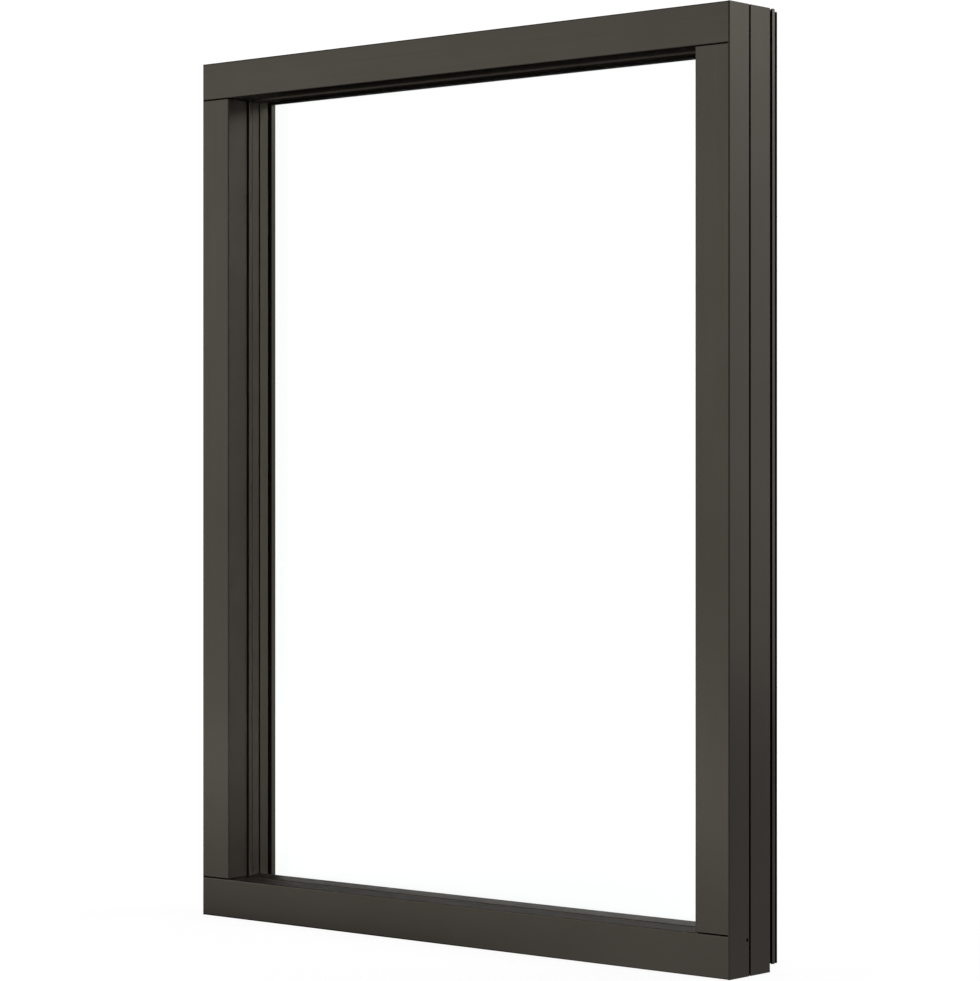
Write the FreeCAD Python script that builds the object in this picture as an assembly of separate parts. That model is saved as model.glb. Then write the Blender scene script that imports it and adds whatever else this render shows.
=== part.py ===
import FreeCAD, Part
import math
import os

Vector = FreeCAD.Vector

# Fixed picture window in a thermally broken aluminium frame, in millimetres.
# X runs along the width, Y from the front to the back, Z up from the sill's underside.
# A section is drawn as inset from the frame's outer edge, and depth behind its front face.

# Outer size, and the width of each face
FRAME_WIDTH = 934.0
FRAME_HEIGHT = 1219.0
FACE = {"left": 52.0, "right": 53.3, "head": 52.2, "sill": 54.5}

# Front and rear extrusions, hollow, with the rebate behind the reveal
WALL = 2.0
EDGE_RADIUS = 1.8
REVEAL_DEPTH = 38.2
REBATE = 14.0
FRONT_HEEL = 3.5
BREAK_GAP = 3.8
REAR_STEP = 10.0
COPE_GAP = 1.3

# Polyamide bars that join the extrusions, with a dovetail head rolled into each
OUTER_BAR = 8.0
INNER_BAR_MARGIN = 6.0
BAR_HALF = 1.8
DOVETAIL_HALF = 2.8
DOVETAIL_DEPTH = 3.0
POCKET_WALL = 1.6

# Clip-in glazing bead behind the reveal, the shelf it stands on and the ribs it grips
BEAD_JOINT = 0.4
BEAD_DEPTH = 18.9
BEAD_NOSE = {"left": 2.5, "right": 2.5, "head": 2.5, "sill": 0.7}
BEAD_CHAMFER = 0.4
BEAD_PROUD = {"left": 4.1, "right": 4.1, "head": 4.1, "sill": 3.9}
BEAD_WALL = 1.6
BEAD_RADIUS = 0.5
QUIRK_SETBACK = 4.6
QUIRK_WIDTH = 1.6
QUIRK_DEPTH = 0.5
SHELF_MARGIN = 0.8
SHELF_GAP = 1.6
RIB_HEIGHT = 4.0
RIB_THICK = 1.6
CLIP_CLEARANCE = 0.1

# Sealed glass unit, and the gaskets and blocks that hold it
FRONT_GASKET = 3.5
FRONT_GASKET_PROUD = 2.3
FRONT_GASKET_HEIGHT = 10.3
PANE = 5.0
CAVITY = 16.0
GLASS_BITE = 10.0
EDGE_SEAL = 3.0
SPACER_PROUD = 0.5
REAR_GASKET = 2.6
REAR_GASKET_HEIGHT = 7.0
REAR_GASKET_SHY = 1.0
GASKET_RADIUS = 1.0
BLOCK_LENGTH = 100.0
BODY_MARGIN = 1.0

# Rear stop that closes the rebate behind the glass, standing off the frame on two legs
STOP_GROOVE = 4.0
STOP_DEPTH = 5.5
STOP_WALL = 2.0
STOP_FOOT = 10.0
STOP_LEG_INSET = 12.0
STOP_LEG_MARGIN = 8.0
STOP_PROUD = {"left": 3.0, "right": 3.0, "head": 1.9, "sill": -2.0}
STOP_LIFT = 9.5
STOP_RADIUS = 0.6

# Black seal round the back, which beds on the wall
SEAL_INSET = 2.5
SEAL_WIDTH = 7.0
SEAL_DEPTH = 9.3
SEAL_DROP = 3.0
SEAL_RADIUS = 1.5

# Drain hole in the foot of each jamb
DRAIN_RADIUS = 2.25
DRAIN_OFFSET = 0.2
DRAIN_HEIGHT = 46.0

# Depths that follow, from the front face to the back
FRONT_DEPTH = REVEAL_DEPTH + FRONT_HEEL
REAR_FRONT = FRONT_DEPTH + BREAK_GAP
BEAD_FRONT = REVEAL_DEPTH + BEAD_JOINT
BEAD_BACK = BEAD_FRONT + BEAD_DEPTH
SHELF_END = BEAD_BACK + SHELF_MARGIN
REAR_REBATE = SHELF_END + SHELF_GAP
GLASS_FRONT = BEAD_BACK + FRONT_GASKET
CAVITY_FRONT = GLASS_FRONT + PANE
CAVITY_BACK = CAVITY_FRONT + CAVITY
GLASS_BACK = CAVITY_BACK + PANE
BODY_DEPTH = GLASS_BACK + BODY_MARGIN
STOP_SEAT = GLASS_BACK + REAR_GASKET
STOP_FRONT = BODY_DEPTH + STOP_GROOVE
STOP_BACK = STOP_FRONT + STOP_DEPTH
SEAL_BACK = STOP_BACK + SEAL_DEPTH

# Insets that follow, from the outer edge towards the opening
JAMBS = ("left", "right")
RAILS = ("head", "sill")
HALF_WIDTH = FRAME_WIDTH / 2
WEBS = {side: WALL for side in FACE}
FLOORS = {side: face - REBATE for side, face in FACE.items()}
BEAD_TOPS = {side: face + BEAD_PROUD[side] for side, face in FACE.items()}
STOP_TOPS = {side: face + STOP_PROUD[side] for side, face in FACE.items()}
GLASS_EDGES = {side: face - GLASS_BITE for side, face in FACE.items()}


def point(side, inset, depth, along):
    y = depth - SEAL_BACK / 2
    if side == "left":
        return Vector(inset - HALF_WIDTH, y, along)
    if side == "right":
        return Vector(HALF_WIDTH - inset, y, along)
    if side == "head":
        return Vector(along, y, FRAME_HEIGHT - inset)
    return Vector(along, y, inset)


def bar(side, corners, start, end):
    # A straight length of one section. A corner is inset, depth and, if rounded, a radius.
    at = [point(side, c[0], c[1], start) for c in corners]
    starts, ends, arcs = [], [], []
    for i, corner in enumerate(corners):
        here = at[i]
        radius = corner[2] if len(corner) > 2 else 0
        if radius == 0:
            starts.append(here)
            ends.append(here)
            arcs.append(None)
            continue
        back = (at[i - 1] - here).normalize()
        ahead = (at[(i + 1) % len(at)] - here).normalize()
        half = back.getAngle(ahead) / 2
        middle = (back + ahead).normalize()
        run = radius / math.tan(half)
        starts.append(here + back * run)
        ends.append(here + ahead * run)
        arcs.append(here + middle * (radius / math.sin(half) - radius))
    edges = []
    for i in range(len(at)):
        if arcs[i] is not None:
            edges.append(Part.Arc(starts[i], arcs[i], ends[i]).toShape())
        edges.append(Part.makeLine(ends[i], starts[(i + 1) % len(at)]))
    face = Part.Face(Part.Wire(edges))
    return face.extrude(point(side, 0, 0, end) - point(side, 0, 0, start))


def box(side, inset, depth, along):
    corners = [(inset[0], depth[0]), (inset[1], depth[0]), (inset[1], depth[1]), (inset[0], depth[1])]
    return bar(side, corners, *along)


def ends_inside(side, insets):
    # The run between the two neighbours of a side, each left clear by its own inset.
    if side in JAMBS:
        return insets["sill"], FRAME_HEIGHT - insets["head"]
    return insets["left"] - HALF_WIDTH, HALF_WIDTH - insets["right"]


def front_corners(side):
    face, floor = FACE[side], FLOORS[side]
    return [
        (0, 0, EDGE_RADIUS),
        (face, 0, EDGE_RADIUS),
        (face, REVEAL_DEPTH),
        (floor, REVEAL_DEPTH),
        (floor, SHELF_END),
        (floor - WALL, SHELF_END),
        (floor - WALL, FRONT_DEPTH),
        (0, FRONT_DEPTH),
    ]


def rear_corners(side):
    floor = FLOORS[side]
    return [
        (0, REAR_FRONT),
        (floor - REAR_STEP, REAR_FRONT),
        (floor - REAR_STEP, REAR_REBATE),
        (floor, REAR_REBATE),
        (floor, BODY_DEPTH),
        (0, BODY_DEPTH, EDGE_RADIUS),
    ]


def break_corners(inset):
    front, rear = FRONT_DEPTH - DOVETAIL_DEPTH, REAR_FRONT + DOVETAIL_DEPTH
    return [
        (inset - DOVETAIL_HALF, front),
        (inset + DOVETAIL_HALF, front),
        (inset + BAR_HALF, FRONT_DEPTH),
        (inset + BAR_HALF, REAR_FRONT),
        (inset + DOVETAIL_HALF, rear),
        (inset - DOVETAIL_HALF, rear),
        (inset - BAR_HALF, REAR_FRONT),
        (inset - BAR_HALF, FRONT_DEPTH),
    ]


def bar_insets(side):
    return OUTER_BAR, FLOORS[side] - REAR_STEP - INNER_BAR_MARGIN


def breaks(side, run):
    return [bar(side, break_corners(inset), *run) for inset in bar_insets(side)]


def front_tube(side, run):
    # Hollow front extrusion, with the shelf that carries the bead.
    face, floor = FACE[side], FLOORS[side]
    hollow = [
        (WALL, WALL),
        (face - WALL, WALL),
        (face - WALL, REVEAL_DEPTH - WALL),
        (floor - WALL, REVEAL_DEPTH - WALL),
        (floor - WALL, FRONT_DEPTH - WALL),
        (WALL, FRONT_DEPTH - WALL),
    ]
    tube = bar(side, front_corners(side), *run).cut(bar(side, hollow, *run))
    return pocketed(tube, side, (FRONT_DEPTH - DOVETAIL_DEPTH - POCKET_WALL, FRONT_DEPTH), run)


def rear_tube(side, run):
    # Hollow rear extrusion, stepped up under the glass.
    floor = FLOORS[side]
    hollow = [
        (WALL, REAR_FRONT + WALL),
        (floor - REAR_STEP - WALL, REAR_FRONT + WALL),
        (floor - REAR_STEP - WALL, REAR_REBATE + WALL),
        (floor - WALL, REAR_REBATE + WALL),
        (floor - WALL, BODY_DEPTH - WALL),
        (WALL, BODY_DEPTH - WALL),
    ]
    tube = bar(side, rear_corners(side), *run).cut(bar(side, hollow, *run))
    return pocketed(tube, side, (REAR_FRONT, REAR_FRONT + DOVETAIL_DEPTH + POCKET_WALL), run)


def pocketed(tube, side, depth, run):
    # Adds the walled pockets that the polyamide bars' dovetail heads fill.
    reach = DOVETAIL_HALF + POCKET_WALL
    for inset in bar_insets(side):
        tube = tube.fuse(box(side, (inset - reach, inset + reach), depth, run))
    for strip in breaks(side, run):
        tube = tube.cut(strip)
    return tube.removeSplitter()


def ribs(side, run):
    floor = FLOORS[side]
    front = BEAD_FRONT + BEAD_WALL + CLIP_CLEARANCE
    back = BEAD_BACK - BEAD_WALL - CLIP_CLEARANCE
    height = (floor - WALL / 2, floor + RIB_HEIGHT)
    depths = ((front, front + RIB_THICK), (back - RIB_THICK, back))
    return [box(side, height, depth, run) for depth in depths]


def coping():
    # What the head and sill fill between the jambs' outer webs, with the joint's gap at the face.
    run = ends_inside("head", WEBS)
    tools = []
    for rail in RAILS:
        tools.append(box(rail, (0, FACE[rail] + COPE_GAP), (0, REVEAL_DEPTH), run))
        tools.append(box(rail, (0, FLOORS[rail]), (0, BODY_DEPTH), run))
    return tools[0].multiFuse(tools[1:])


def drilled(jamb, side):
    inward = point(side, 1, 0, 0) - point(side, 0, 0, 0)
    start = point(side, -WALL, REVEAL_DEPTH - DRAIN_OFFSET, DRAIN_HEIGHT)
    return jamb.cut(Part.makeCylinder(DRAIN_RADIUS, 3 * WALL, start, inward))


def bead(side, run):
    # Channel with a sloping face, along which a quirk draws a line, but not along the sill's.
    floor, top = FLOORS[side], BEAD_TOPS[side]
    nose = FACE[side] + BEAD_NOSE[side]
    shoulder = nose + BEAD_CHAMFER
    brow = BEAD_FRONT + BEAD_CHAMFER
    slope = (top - shoulder) / (BEAD_BACK - brow)

    def on_face(depth):
        return shoulder + slope * (depth - brow)

    start = brow + QUIRK_SETBACK
    end = start + QUIRK_WIDTH
    quirk = [
        (on_face(start), start),
        (on_face(start) - QUIRK_DEPTH, start),
        (on_face(end) - QUIRK_DEPTH, end),
        (on_face(end), end),
    ]
    shell = [
        (floor, BEAD_FRONT),
        (nose, BEAD_FRONT),
        (shoulder, brow),
        *([] if side == "sill" else quirk),
        (top, BEAD_BACK, BEAD_RADIUS),
        (floor, BEAD_BACK),
    ]
    under = QUIRK_DEPTH + BEAD_WALL
    front, back = BEAD_FRONT + BEAD_WALL, BEAD_BACK - BEAD_WALL
    channel = [
        (floor, front),
        (on_face(front) - under, front),
        (on_face(back) - under, back),
        (floor, back),
    ]
    return bar(side, shell, *run).cut(bar(side, channel, *run))


def gasket(side, low, high, depth, run):
    corners = [
        (low, depth[0]),
        (high, depth[0], GASKET_RADIUS),
        (high, depth[1], GASKET_RADIUS),
        (low, depth[1]),
    ]
    return bar(side, corners, *run)


def rear_stop(side, low, run):
    # Cover plate with an outer return, two legs to the frame, and a foot on the rear gasket.
    top = STOP_TOPS[side]
    plate = [
        (low, STOP_FRONT),
        (low + STOP_WALL, STOP_FRONT),
        (low + STOP_WALL, STOP_BACK - STOP_WALL),
        (top - STOP_WALL, STOP_BACK - STOP_WALL),
        (top - STOP_WALL, STOP_SEAT + STOP_WALL),
        (top - STOP_FOOT, STOP_SEAT + STOP_WALL),
        (top - STOP_FOOT, STOP_SEAT),
        (top, STOP_SEAT),
        (top, STOP_BACK, STOP_RADIUS),
        (low, STOP_BACK, STOP_RADIUS),
    ]
    stop = bar(side, plate, *run)
    for inset in (low + STOP_LEG_INSET, FLOORS[side] - STOP_LEG_MARGIN):
        leg = (inset, inset + STOP_WALL)
        stop = stop.fuse(box(side, leg, (BODY_DEPTH, STOP_BACK - STOP_WALL / 2), run))
    return stop.removeSplitter()


def wall_seal(side, low, run):
    corners = [
        (low, STOP_BACK),
        (low, SEAL_BACK, SEAL_RADIUS),
        (low + SEAL_WIDTH, SEAL_BACK, SEAL_RADIUS),
        (low + SEAL_WIDTH, STOP_BACK),
    ]
    return bar(side, corners, *run)


def sheet(insets, depth):
    # A rectangle that stops short of the frame's outer edge by its own inset on each side.
    height = (insets["sill"], FRAME_HEIGHT - insets["head"])
    return box("sill", height, depth, ends_inside("sill", insets))


def name_of(side):
    return side + "_jamb" if side in JAMBS else side


nodes = {}
full_height = (0, FRAME_HEIGHT)
between_webs = ends_inside("head", WEBS)

# Frame: the jambs' outer webs run the full height, and the head and sill fit between them.
cope = coping()
for side in JAMBS:
    front = front_tube(side, full_height).cut(cope)
    for rib in ribs(side, ends_inside(side, FLOORS)):
        front = front.fuse(rib)
    nodes[name_of(side) + "_front_profile"] = [drilled(front, side).removeSplitter()]
    nodes[name_of(side) + "_rear_profile"] = [rear_tube(side, full_height).cut(cope)]
    strips = [strip.cut(cope) for strip in breaks(side, full_height)]
    nodes[name_of(side) + "_thermal_break"] = strips
for side in RAILS:
    front = front_tube(side, between_webs)
    for rib in ribs(side, ends_inside(side, BEAD_TOPS)):
        front = front.fuse(rib)
    nodes[name_of(side) + "_front_profile"] = [front.removeSplitter()]
    nodes[name_of(side) + "_rear_profile"] = [rear_tube(side, between_webs)]
    nodes[name_of(side) + "_thermal_break"] = breaks(side, between_webs)

# Glazing bead and front gasket: the upright lengths run through at the corners.
gasket_tops = {side: face + FRONT_GASKET_PROUD for side, face in FACE.items()}
gasket_feet = {side: top - FRONT_GASKET_HEIGHT for side, top in gasket_tops.items()}
for side in FACE:
    upright = side in JAMBS
    nodes[name_of(side) + "_glazing_bead"] = [bead(side, ends_inside(side, FLOORS if upright else BEAD_TOPS))]
    run = ends_inside(side, gasket_feet if upright else gasket_tops)
    strip = gasket(side, gasket_feet[side], gasket_tops[side], (BEAD_BACK, GLASS_FRONT), run)
    nodes[name_of(side) + "_front_gasket"] = [strip]

# Sealed unit: two panes, the spacer and the sealant round its edge, on two setting blocks.
sealed = {side: edge + EDGE_SEAL for side, edge in GLASS_EDGES.items()}
spaced = {side: face + SPACER_PROUD for side, face in FACE.items()}
nodes["front_pane"] = [sheet(GLASS_EDGES, (GLASS_FRONT, CAVITY_FRONT))]
nodes["rear_pane"] = [sheet(GLASS_EDGES, (CAVITY_BACK, GLASS_BACK))]
cavity = (CAVITY_FRONT, CAVITY_BACK)
nodes["glass_edge_seal"] = [sheet(GLASS_EDGES, cavity).cut(sheet(sealed, cavity))]
nodes["glass_spacer"] = [sheet(sealed, cavity).cut(sheet(spaced, cavity))]
blocks = []
for centre in (-FRAME_WIDTH / 4, FRAME_WIDTH / 4):
    run = (centre - BLOCK_LENGTH / 2, centre + BLOCK_LENGTH / 2)
    blocks.append(box("sill", (FLOORS["sill"], GLASS_EDGES["sill"]), (GLASS_FRONT, GLASS_BACK), run))
nodes["setting_blocks"] = blocks

# Rear gasket, rear stop and wall seal: the upright lengths run through here too.
gasket_tops = {side: top - REAR_GASKET_SHY for side, top in STOP_TOPS.items()}
gasket_feet = {side: top - REAR_GASKET_HEIGHT for side, top in gasket_tops.items()}
seal_edges = {side: SEAL_INSET + SEAL_WIDTH for side in FACE}
seal_starts = {"left": SEAL_INSET, "right": SEAL_INSET, "head": SEAL_DROP, "sill": STOP_LIFT}
for side in FACE:
    upright = side in JAMBS
    run = ends_inside(side, gasket_feet if upright else gasket_tops)
    strip = gasket(side, gasket_feet[side], gasket_tops[side], (GLASS_BACK, STOP_SEAT), run)
    nodes[name_of(side) + "_rear_gasket"] = [strip]
    run = (STOP_LIFT, FRAME_HEIGHT) if upright else ends_inside(side, STOP_TOPS)
    nodes[name_of(side) + "_rear_stop"] = [rear_stop(side, STOP_LIFT if side == "sill" else 0, run)]
    run = (STOP_LIFT, FRAME_HEIGHT - SEAL_DROP) if upright else ends_inside(side, seal_edges)
    nodes[name_of(side) + "_wall_seal"] = [wall_seal(side, seal_starts[side], run)]

os.makedirs("parts", exist_ok=True)
for name, solids in nodes.items():
    solids = [solid for shape in solids for solid in shape.Solids]
    shape = solids[0] if len(solids) == 1 else Part.makeCompound(solids)
    shape.exportStep("parts/" + name + ".step")
    print(name, len(solids), round(shape.Volume / 1000, 1), shape.isValid())
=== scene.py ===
import math
import bpy
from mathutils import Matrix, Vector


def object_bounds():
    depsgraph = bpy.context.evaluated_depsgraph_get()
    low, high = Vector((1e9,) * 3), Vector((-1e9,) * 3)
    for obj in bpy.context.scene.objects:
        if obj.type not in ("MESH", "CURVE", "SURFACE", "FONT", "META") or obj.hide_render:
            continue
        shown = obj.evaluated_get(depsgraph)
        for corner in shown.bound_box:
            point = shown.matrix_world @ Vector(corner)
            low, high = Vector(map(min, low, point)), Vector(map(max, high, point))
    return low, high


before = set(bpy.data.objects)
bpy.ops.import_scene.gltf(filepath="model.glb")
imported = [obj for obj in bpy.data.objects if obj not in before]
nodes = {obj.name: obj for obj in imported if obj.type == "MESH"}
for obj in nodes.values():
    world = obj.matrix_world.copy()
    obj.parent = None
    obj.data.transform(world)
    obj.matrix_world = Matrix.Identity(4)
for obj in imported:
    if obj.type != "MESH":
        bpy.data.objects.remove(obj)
cad_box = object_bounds()
bpy.ops.object.select_all(action="DESELECT")

# Frame: a front and a rear extrusion for each of the head, the sill and the two jambs.
# They are 6063 aluminium, cut to length, coped at the corners and joined there, etched to a
# satin and anodised dark bronze.
JAMBS = ("left_jamb", "right_jamb")
RAILS = ("head", "sill")
SIDES = JAMBS + RAILS
UPRIGHT, LEVEL = 2, 0
ETCH_GRAIN = 0.0008
DIE_LINE = 0.002
DIE_LINE_LENGTH = 0.2
CLOUD = 0.11
# Places of the colour sockets on a Mix node, where several sockets share a name
COLOUR_A, COLOUR_B, COLOUR_OUT = 6, 7, 2


def linear(code):
    # An sRGB hex colour as the linear values that a shader takes.
    parts = [int(code[i:i + 2], 16) / 255 for i in (1, 3, 5)]
    return [c / 12.92 if c <= 0.04045 else ((c + 0.055) / 1.055) ** 2.4 for c in parts] + [1]


def add(tree, kind, inputs=None, **settings):
    # A node with its settings, and its inputs, each a value or the output that feeds it.
    node = tree.nodes.new("ShaderNode" + kind)
    for name, value in settings.items():
        setattr(node, name, value)
    for name, value in (inputs or {}).items():
        if isinstance(value, bpy.types.NodeSocket):
            tree.links.new(value, node.inputs[name])
        else:
            node.inputs[name].default_value = value
    return node


def finish_named(name):
    # An empty material, and the place on the piece that its patterns read.
    material = bpy.data.materials.new(name)
    material.use_nodes = True
    tree = material.node_tree
    tree.nodes.clear()
    return material, tree, add(tree, "TexCoord").outputs["Object"]


def dress(material, *names):
    for name in names:
        nodes[name].data.materials.clear()
        nodes[name].data.materials.append(material)


def bronze_anodised(name, along, dark, light, smooth, rough):
    # The etch gives a soft satin, and the anodic film clouds slightly in tone. Grain and die
    # lines are about 0.05 and 0.1 mm apart, too fine to show, so they are drawn coarser.
    material, tree, place = finish_named(name)
    stretch = [1, 1, 1]
    stretch[along] = DIE_LINE / DIE_LINE_LENGTH
    lines = add(tree, "Mapping", {"Vector": place, "Scale": stretch})
    die = add(tree, "TexNoise", {"Vector": lines.outputs["Vector"], "Scale": 1 / DIE_LINE, "Detail": 3})
    grain = add(tree, "TexNoise", {"Vector": place, "Scale": 1 / ETCH_GRAIN, "Detail": 2})
    cloud = add(tree, "TexNoise", {"Vector": place, "Scale": 1 / CLOUD, "Detail": 4})
    tone = add(tree, "Mix", data_type="RGBA", inputs={
        "Factor": cloud.outputs["Fac"], COLOUR_A: linear(dark), COLOUR_B: linear(light)})
    sheen = add(tree, "MapRange", {"Value": die.outputs["Fac"], "To Min": smooth, "To Max": rough})
    etched = add(tree, "Bump", {"Height": grain.outputs["Fac"], "Strength": 0.03, "Distance": 0.0003})
    drawn = add(tree, "Bump", {"Height": die.outputs["Fac"], "Strength": 0.03, "Distance": 0.0005,
                               "Normal": etched.outputs["Normal"]})
    metal = add(tree, "BsdfPrincipled", {
        "Base Color": tone.outputs[COLOUR_OUT], "Metallic": 1.0,
        "Roughness": sheen.outputs["Result"], "Normal": drawn.outputs["Normal"]})
    add(tree, "OutputMaterial", {"Surface": metal.outputs["BSDF"]})
    return material


SATIN = ("#47433D", "#4D4943", 0.34, 0.44)
upright_bronze = bronze_anodised("satin_bronze_anodised_aluminium_upright", UPRIGHT, *SATIN)
level_bronze = bronze_anodised("satin_bronze_anodised_aluminium_level", LEVEL, *SATIN)
for extrusion in ("_front_profile", "_rear_profile"):
    dress(upright_bronze, *[side + extrusion for side in JAMBS])
    dress(level_bronze, *[side + extrusion for side in RAILS])

# Thermal break: two bars in each side that hold the front and rear extrusions apart.
# They are polyamide with a quarter of short glass fibre, extruded black, and their dovetail
# edges are rolled into the aluminium.
FIBRE = 0.001
polyamide, tree, place = finish_named("black_glass_filled_polyamide")
# The fibres leave a dull, faintly speckled skin. They are 0.01 mm thick, so they are drawn a
# hundred times coarser.
fibres = add(tree, "TexNoise", {"Vector": place, "Scale": 1 / FIBRE, "Detail": 2})
tone = add(tree, "Mix", data_type="RGBA", inputs={
    "Factor": fibres.outputs["Fac"], COLOUR_A: linear("#0B0B0B"), COLOUR_B: linear("#151514")})
skin = add(tree, "MapRange", {"Value": fibres.outputs["Fac"], "To Min": 0.52, "To Max": 0.68})
bar = add(tree, "BsdfPrincipled", {
    "Base Color": tone.outputs[COLOUR_OUT], "Roughness": skin.outputs["Result"], "Specular IOR Level": 0.3})
add(tree, "OutputMaterial", {"Surface": bar.outputs["BSDF"]})
dress(polyamide, *[side + "_thermal_break" for side in SIDES])

# Setting blocks: two pads under the glass that carry its weight on the sill.
# They are neoprene, cut from black bar and laid in place dry.
SAW_MARK = 0.0015
SAW_MARK_LENGTH = 0.03
neoprene, tree, place = finish_named("black_neoprene_block")
# The saw leaves a dull face with fine marks across the bar.
drawn_out = SAW_MARK / SAW_MARK_LENGTH
across = add(tree, "Mapping", {"Vector": place, "Scale": (1, drawn_out, drawn_out)})
marks = add(tree, "TexNoise", {"Vector": across.outputs["Vector"], "Scale": 1 / SAW_MARK, "Detail": 2})
tone = add(tree, "Mix", data_type="RGBA", inputs={
    "Factor": marks.outputs["Fac"], COLOUR_A: linear("#0D0D0D"), COLOUR_B: linear("#171716")})
sawn = add(tree, "Bump", {"Height": marks.outputs["Fac"], "Strength": 0.2, "Distance": 0.0003})
block = add(tree, "BsdfPrincipled", {
    "Base Color": tone.outputs[COLOUR_OUT], "Roughness": 0.8, "Specular IOR Level": 0.2,
    "Normal": sawn.outputs["Normal"]})
add(tree, "OutputMaterial", {"Surface": block.outputs["BSDF"]})
dress(neoprene, "setting_blocks")

# Glass: the two panes of the sealed unit.
# They are clear soda-lime float glass, cut with ground edges and washed before sealing.
TINT_DRIFT = 0.4
FAINT_MIRROR = (0.03, 0.03, 0.03, 1)


def looked_at(tree):
    # One for what the camera sees straight on, through the glass or mirrored by it, and
    # nought for what satin metal mirrors and for the lamps' own light.
    ray = add(tree, "LightPath")
    sharp = add(tree, "Math", {0: ray.outputs["Is Camera Ray"], 1: ray.outputs["Is Singular Ray"]},
                operation="MAXIMUM")
    return sharp.outputs[0]


glass, tree, place = finish_named("clear_float_glass")
# Float glass is almost colourless, with a trace of green that drifts slowly over the sheet.
# Almost no reflection shows on it, so its specular tint is low. Lamps, and what the metal
# mirrors, come straight through it.
drift = add(tree, "TexNoise", {"Vector": place, "Scale": 1 / TINT_DRIFT, "Detail": 1})
tint = add(tree, "Mix", data_type="RGBA", inputs={
    "Factor": drift.outputs["Fac"], COLOUR_A: linear("#FDFFFE"), COLOUR_B: linear("#FFFFFF")})
pane = add(tree, "BsdfPrincipled", {
    "Base Color": tint.outputs[COLOUR_OUT], "Roughness": 0.0, "IOR": 1.5, "Transmission Weight": 1.0,
    "Specular Tint": FAINT_MIRROR})
through = add(tree, "BsdfTransparent")
sheet = add(tree, "MixShader", {0: looked_at(tree), 1: through.outputs["BSDF"], 2: pane.outputs["BSDF"]})
add(tree, "OutputMaterial", {"Surface": sheet.outputs[0]})
dress(glass, "front_pane", "rear_pane")

# Spacer: the strip between the panes that keeps them apart and shows through the glass.
# It is structural foam with a drying agent in it, faced with a matt bronze film and bonded
# to both panes.
FOAM_CELL = 0.0012
foam, tree, place = finish_named("bronze_faced_foam_spacer")
# The film takes on the foam's fine cells, so it is duller than the frame. Cells of 0.3 mm are
# drawn four times coarser.
cells = add(tree, "TexNoise", {"Vector": place, "Scale": 1 / FOAM_CELL, "Detail": 3})
# Its bronze is painted lighter than the frame's, as painted light for the shade between the panes.
tone = add(tree, "Mix", data_type="RGBA", inputs={
    "Factor": cells.outputs["Fac"], COLOUR_A: linear("#534F47"), COLOUR_B: linear("#5B574F")})
pitted = add(tree, "Bump", {"Height": cells.outputs["Fac"], "Strength": 0.08, "Distance": 0.0003})
film = add(tree, "BsdfPrincipled", {
    "Base Color": tone.outputs[COLOUR_OUT], "Metallic": 1.0, "Roughness": 0.5,
    "Normal": pitted.outputs["Normal"]})
add(tree, "OutputMaterial", {"Surface": film.outputs["BSDF"]})
dress(foam, "glass_spacer")

# Edge seal: the bead of sealant that closes the unit outside the spacer.
# It is two-part polysulfide, pumped into the channel and struck flush with the glass edges.
STROKE = 0.012
polysulfide, tree, place = finish_named("black_polysulfide_sealant")
# The knife leaves a slightly wavy satin skin.
waves = add(tree, "TexNoise", {"Vector": place, "Scale": 1 / STROKE, "Detail": 2})
tone = add(tree, "Mix", data_type="RGBA", inputs={
    "Factor": waves.outputs["Fac"], COLOUR_A: linear("#0A0A0A"), COLOUR_B: linear("#121212")})
struck = add(tree, "Bump", {"Height": waves.outputs["Fac"], "Strength": 0.15, "Distance": 0.001})
sealant = add(tree, "BsdfPrincipled", {
    "Base Color": tone.outputs[COLOUR_OUT], "Roughness": 0.5, "Specular IOR Level": 0.3,
    "Normal": struck.outputs["Normal"]})
add(tree, "OutputMaterial", {"Surface": sealant.outputs["BSDF"]})
dress(polysulfide, "glass_edge_seal")

# Gaskets: strips in front of and behind the glass that keep water out and hold it tight.
# They are dense EPDM rubber, extruded black, cut to length and pushed in.
RUBBER_SKIN = 0.0014
epdm, tree, place = finish_named("black_epdm_rubber")
# The extruded skin is matt, with a fine orange peel that breaks up its shine.
peel = add(tree, "TexNoise", {"Vector": place, "Scale": 1 / RUBBER_SKIN, "Detail": 3})
tone = add(tree, "Mix", data_type="RGBA", inputs={
    "Factor": peel.outputs["Fac"], COLOUR_A: linear("#060606"), COLOUR_B: linear("#0E0E0D")})
peeled = add(tree, "Bump", {"Height": peel.outputs["Fac"], "Strength": 0.1, "Distance": 0.0003})
rubber = add(tree, "BsdfPrincipled", {
    "Base Color": tone.outputs[COLOUR_OUT], "Roughness": 0.75, "Specular IOR Level": 0.1,
    "Normal": peeled.outputs["Normal"]})
add(tree, "OutputMaterial", {"Surface": rubber.outputs["BSDF"]})
dress(epdm, *[side + "_front_gasket" for side in SIDES])
dress(epdm, *[side + "_rear_gasket" for side in SIDES])

# Glazing beads: the channels that close the rebate in front of the glass.
# They are extruded aluminium, anodised with the frame, and clip over two ribs of the rebate.
dress(upright_bronze, *[side + "_glazing_bead" for side in JAMBS])
dress(level_bronze, *[side + "_glazing_bead" for side in RAILS])

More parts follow.
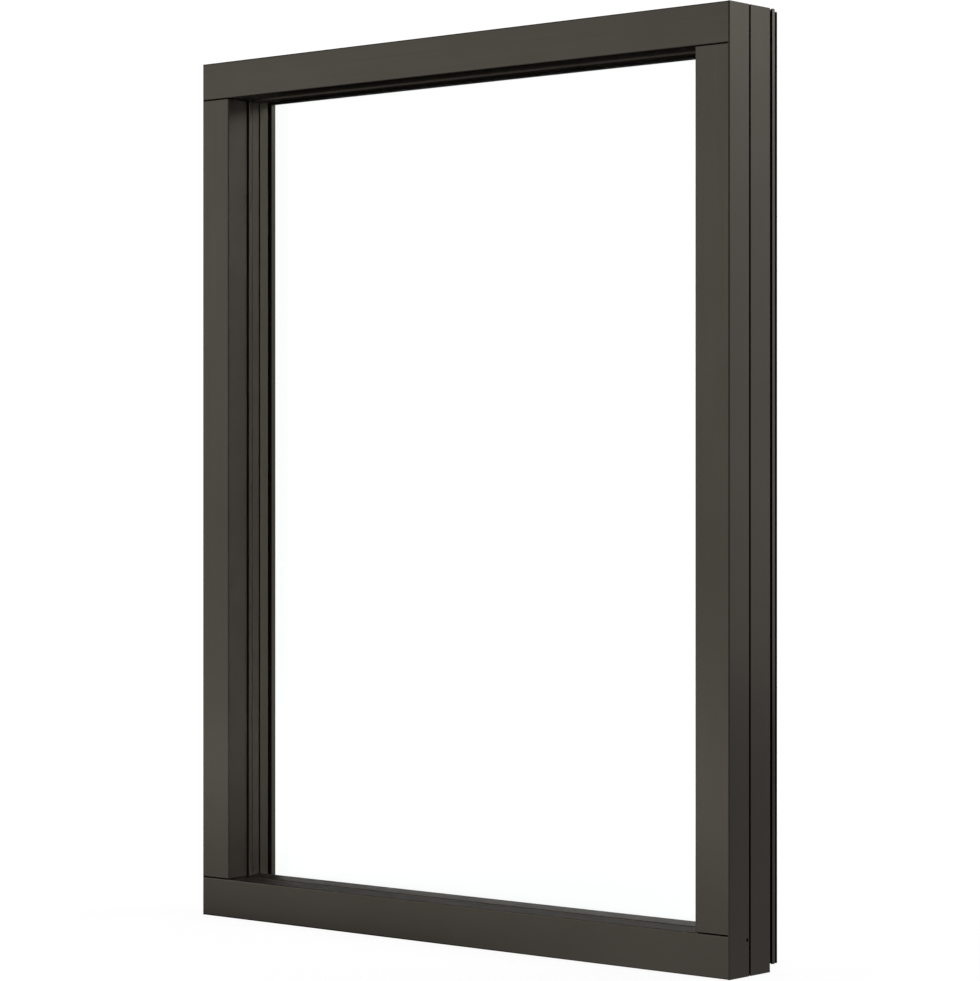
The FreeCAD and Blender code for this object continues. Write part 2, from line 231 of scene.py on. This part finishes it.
# Rear stops: the flanged strips behind the glass that its rear gasket bears on.
# They are extruded aluminium, fixed by two legs to the rear extrusion, and anodised without
# the long etch, so they keep more of the die's shine. Their colour is painted a little lighter
# than the frame's, as painted light on their faces behind the glass.
# The colours are painted lighter than the frame's, as painted light; the lower roughness is the smoother
# finish.
SMOOTHER_AND_PAINTED_LIGHTER = ("#4D4944", "#54504B", 0.25, 0.33)
upright_smoother_painted_lighter = bronze_anodised("smoother_bronze_anodised_aluminium_painted_lighter_upright", UPRIGHT, *SMOOTHER_AND_PAINTED_LIGHTER)
level_smoother_painted_lighter = bronze_anodised("smoother_bronze_anodised_aluminium_painted_lighter_level", LEVEL, *SMOOTHER_AND_PAINTED_LIGHTER)
dress(upright_smoother_painted_lighter, *[side + "_rear_stop" for side in JAMBS])
dress(level_smoother_painted_lighter, *[side + "_rear_stop" for side in RAILS])

# Wall seals: the soft strips round the back that bed on the wall.
# They are cellular EPDM, black, slit from sheet with a sticky face and pressed on.
CELL = 0.0015
cellular, tree, place = finish_named("black_cellular_rubber")
# Cut cells make it the dullest of the blacks. They are 0.5 mm across and drawn three times
# that.
pores = add(tree, "TexVoronoi", {"Vector": place, "Scale": 1 / CELL})
tone = add(tree, "Mix", data_type="RGBA", inputs={
    "Factor": pores.outputs["Distance"], COLOUR_A: linear("#050505"), COLOUR_B: linear("#101010")})
porous = add(tree, "Bump", {"Height": pores.outputs["Distance"], "Strength": 0.3, "Distance": 0.0004})
sponge = add(tree, "BsdfPrincipled", {
    "Base Color": tone.outputs[COLOUR_OUT], "Roughness": 0.9, "Specular IOR Level": 0.1,
    "Normal": porous.outputs["Normal"]})
add(tree, "OutputMaterial", {"Surface": sponge.outputs["BSDF"]})
dress(cellular, *[side + "_wall_seal" for side in SIDES])

# Floor: a wide sheet of matt white paper, on which the window stands.
# The camera sees it white. Painted pools of light glow on it, in front of the frame, to its
# right and behind it, and fade with distance; only glossy rays see them, so metal mirrors
# them. The last isn't mirrored through the glass.
FLOOR_SIZE = 30
WHITE = 1.03
WHITE_BY_FRAME = 0.925
PAPER_SHADE = (0.15, 0.15, 0.15, 1)
# Distances from the middle over which the paper turns fully white, and over which the pools fade
LIFT = (0.6, 1.8)
FADE = (1.5, 4.0)
# Each pool's axis, where it starts, where it is full, and how bright it is there
FRONT_POOL = ("Y", -0.05, -0.2, 0.3)
RIGHT_POOL = ("X", -0.1, 0.3, 0.5)
BACK_POOL = ("Y", 0.06, 0.2, 0.5)
bpy.ops.mesh.primitive_plane_add(size=FLOOR_SIZE, location=(0, 0, 0))
floor = bpy.context.object
floor.name = "floor"
paper, tree, place = finish_named("matt_white_paper")
# The paper is dead matt, so it takes the frame's soft shadow and shows no gloss.
far = add(tree, "VectorMath", {0: place}, operation="LENGTH")
lift = add(tree, "MapRange", {"Value": far.outputs["Value"], "From Min": LIFT[0], "From Max": LIFT[1],
                              "To Min": WHITE_BY_FRAME, "To Max": WHITE})
white = add(tree, "Emission", {"Color": (1, 1, 1, 1), "Strength": lift.outputs["Result"]})
matt = add(tree, "BsdfDiffuse", {"Color": PAPER_SHADE})
shown = add(tree, "AddShader", {0: white.outputs[0], 1: matt.outputs[0]})
axes = add(tree, "SeparateXYZ", {"Vector": place})
front, right, back = [
    add(tree, "MapRange", {"Value": axes.outputs[axis], "From Min": start, "From Max": full,
                           "To Min": 0.0, "To Max": bright}).outputs["Result"]
    for axis, start, full, bright in (FRONT_POOL, RIGHT_POOL, BACK_POOL)]
ray = add(tree, "LightPath")
bare = add(tree, "Math", {0: ray.outputs["Transparent Depth"], 1: 0.5}, operation="LESS_THAN")
behind = add(tree, "Math", {0: back, 1: bare.outputs[0]}, operation="MULTIPLY")
beside = add(tree, "Math", {0: front, 1: right}, operation="MAXIMUM")
pool = add(tree, "Math", {0: beside.outputs[0], 1: behind.outputs[0]}, operation="MAXIMUM")
fade = add(tree, "MapRange", {"Value": far.outputs["Value"], "From Min": FADE[0], "From Max": FADE[1],
                              "To Min": 1.0, "To Max": 0.0})
faded = add(tree, "Math", {0: pool.outputs[0], 1: fade.outputs["Result"]}, operation="MULTIPLY")
glow = add(tree, "Math", {0: faded.outputs[0], 1: ray.outputs["Is Glossy Ray"]}, operation="MULTIPLY")
# Painted light: the paper glows in these pools for glossy rays, though it is no lamp.
painted_light_pools = add(tree, "Emission", {"Color": (1, 1, 1, 1), "Strength": glow.outputs[0]})
sheet = add(tree, "MixShader", {0: looked_at(tree), 1: painted_light_pools.outputs[0], 2: shown.outputs[0]})
add(tree, "OutputMaterial", {"Surface": sheet.outputs[0]})
floor.data.materials.append(paper)

# Studio: a white background for the camera and, for metal, a dark room lit by softboxes.
# Large ones stand in front, to the right, behind and overhead, and one faces each side from
# afar. Small ones close by light the right side, the left reveal and the foot of the frame.
scene = bpy.context.scene
scene.view_settings.view_transform = "Standard"
TO_CAMERA = (0.65, -0.76, 0)
# How far a direction turns to the camera where the room is darkest, and where it is lightest
DARK_FROM, LIGHT_AT = -0.4, 1.0
ROOM_DARK, ROOM_BY_CAMERA = 0.005, 0.1
# Places of the plain number sockets on a Mix node
FLOAT_A, FLOAT_B = 2, 3
RIGHT_SIDE = cad_box[1][0]
LEFT_REVEAL = -0.41
FAR_LAMP = 4.6
FAR_LAMP_HEIGHT = 1.2
world = bpy.data.worlds.new("studio")
scene.world = world
world.use_nodes = True
tree = world.node_tree
tree.nodes.clear()
way = add(tree, "TexCoord")
near = add(tree, "VectorMath", {0: way.outputs["Generated"], 1: TO_CAMERA}, operation="DOT_PRODUCT")
room = add(tree, "MapRange", {"Value": near.outputs["Value"], "From Min": DARK_FROM, "From Max": LIGHT_AT,
                              "To Min": ROOM_DARK, "To Max": ROOM_BY_CAMERA})
level = add(tree, "Mix", data_type="FLOAT", inputs={
    "Factor": looked_at(tree), FLOAT_A: room.outputs["Result"], FLOAT_B: WHITE})
sky = add(tree, "Background", {"Color": (1, 1, 1, 1), "Strength": level.outputs[0]})
add(tree, "OutputWorld", {"Surface": sky.outputs[0]})


def softbox(name, place, aim, size, glow):
    # A lamp whose face is as bright as its glow, where 1 is white.
    bpy.ops.object.light_add(type="AREA", location=place)
    lamp = bpy.context.object
    lamp.name = name
    lamp.data.shape = "RECTANGLE"
    lamp.data.size, lamp.data.size_y = size
    lamp.data.energy = glow * math.pi * size[0] * size[1]
    reach = [a - p for a, p in zip(aim, place)]
    flat = math.hypot(reach[0], reach[1])
    lamp.rotation_euler = (math.atan2(flat, -reach[2]), 0, math.atan2(-reach[0], reach[1]))


softbox("front_softbox", place=(-3.0, -3.5, 1.5), aim=(0, 0, 1.5), size=(3.6, 3.0), glow=1.4)
softbox("front_low_softbox", place=(-0.8, -0.9, 0.11), aim=(-0.8, 0, 0.11), size=(1.8, 0.2), glow=1.7)
softbox("right_softbox", place=(3.1, 3.0, 2.85), aim=(0.4, 0, 2.85), size=(2.6, 2.2), glow=2.4)
softbox("right_low_softbox", place=(1.6, 1.35, 0.8), aim=(RIGHT_SIDE, 0, 0.8), size=(0.9, 1.0), glow=0.5)
softbox("side_softbox", place=(1.05, 0.68, 0.95), aim=(RIGHT_SIDE, 0, 0.95), size=(0.5, 1.3), glow=0.48)
softbox("reveal_softbox", place=(0.55, 1.1, 0.2), aim=(LEFT_REVEAL, 0, 0.2), size=(0.8, 0.38), glow=0.5)
softbox("strip_softbox", place=(0.83, 1.48, 0.7), aim=(LEFT_REVEAL, 0, 0.7), size=(0.35, 0.9), glow=0.7)
softbox("bead_softbox", place=(0.37, 0.42, 0.1), aim=(LEFT_REVEAL, 0, 0.1), size=(0.34, 0.18), glow=1.0)
softbox("back_softbox", place=(-2.6, 3.0, 2.9), aim=(0, 0, 0.6), size=(2.6, 1.6), glow=1.5)
softbox("top_softbox", place=(0, 0, 3.6), aim=(0, 0, 0), size=(3.0, 3.0), glow=1.2)
for name, x, y, glow in (("far_right", FAR_LAMP, 0, 0.75), ("far_left", -FAR_LAMP, 0, 1.2),
                         ("far_back", 0, FAR_LAMP, 1.0), ("far_front", 0, -FAR_LAMP, 0.75)):
    softbox(name + "_softbox", place=(x, y, FAR_LAMP_HEIGHT), aim=(0, 0, FAR_LAMP_HEIGHT),
            size=(3.0, 2.6), glow=glow)

# Camera: level, at about half the window's height, 40.6 degrees round to its right.
# Held level, it keeps the uprights upright, and a small shift frames the window as
# photographed. The lens and the sensor are in millimetres.
CAMERA_PLACE = (2.8156, -3.2550, 0.6157)
CAMERA_TURN = math.radians(40.5597)
LENS = 116.85
SENSOR = 36
FRAME_SHIFT = -0.0054
bpy.ops.object.camera_add(location=CAMERA_PLACE, rotation=(math.pi / 2, 0, CAMERA_TURN))
camera = bpy.context.object
camera.data.lens = LENS
camera.data.sensor_width = SENSOR
camera.data.shift_y = FRAME_SHIFT
scene.camera = camera
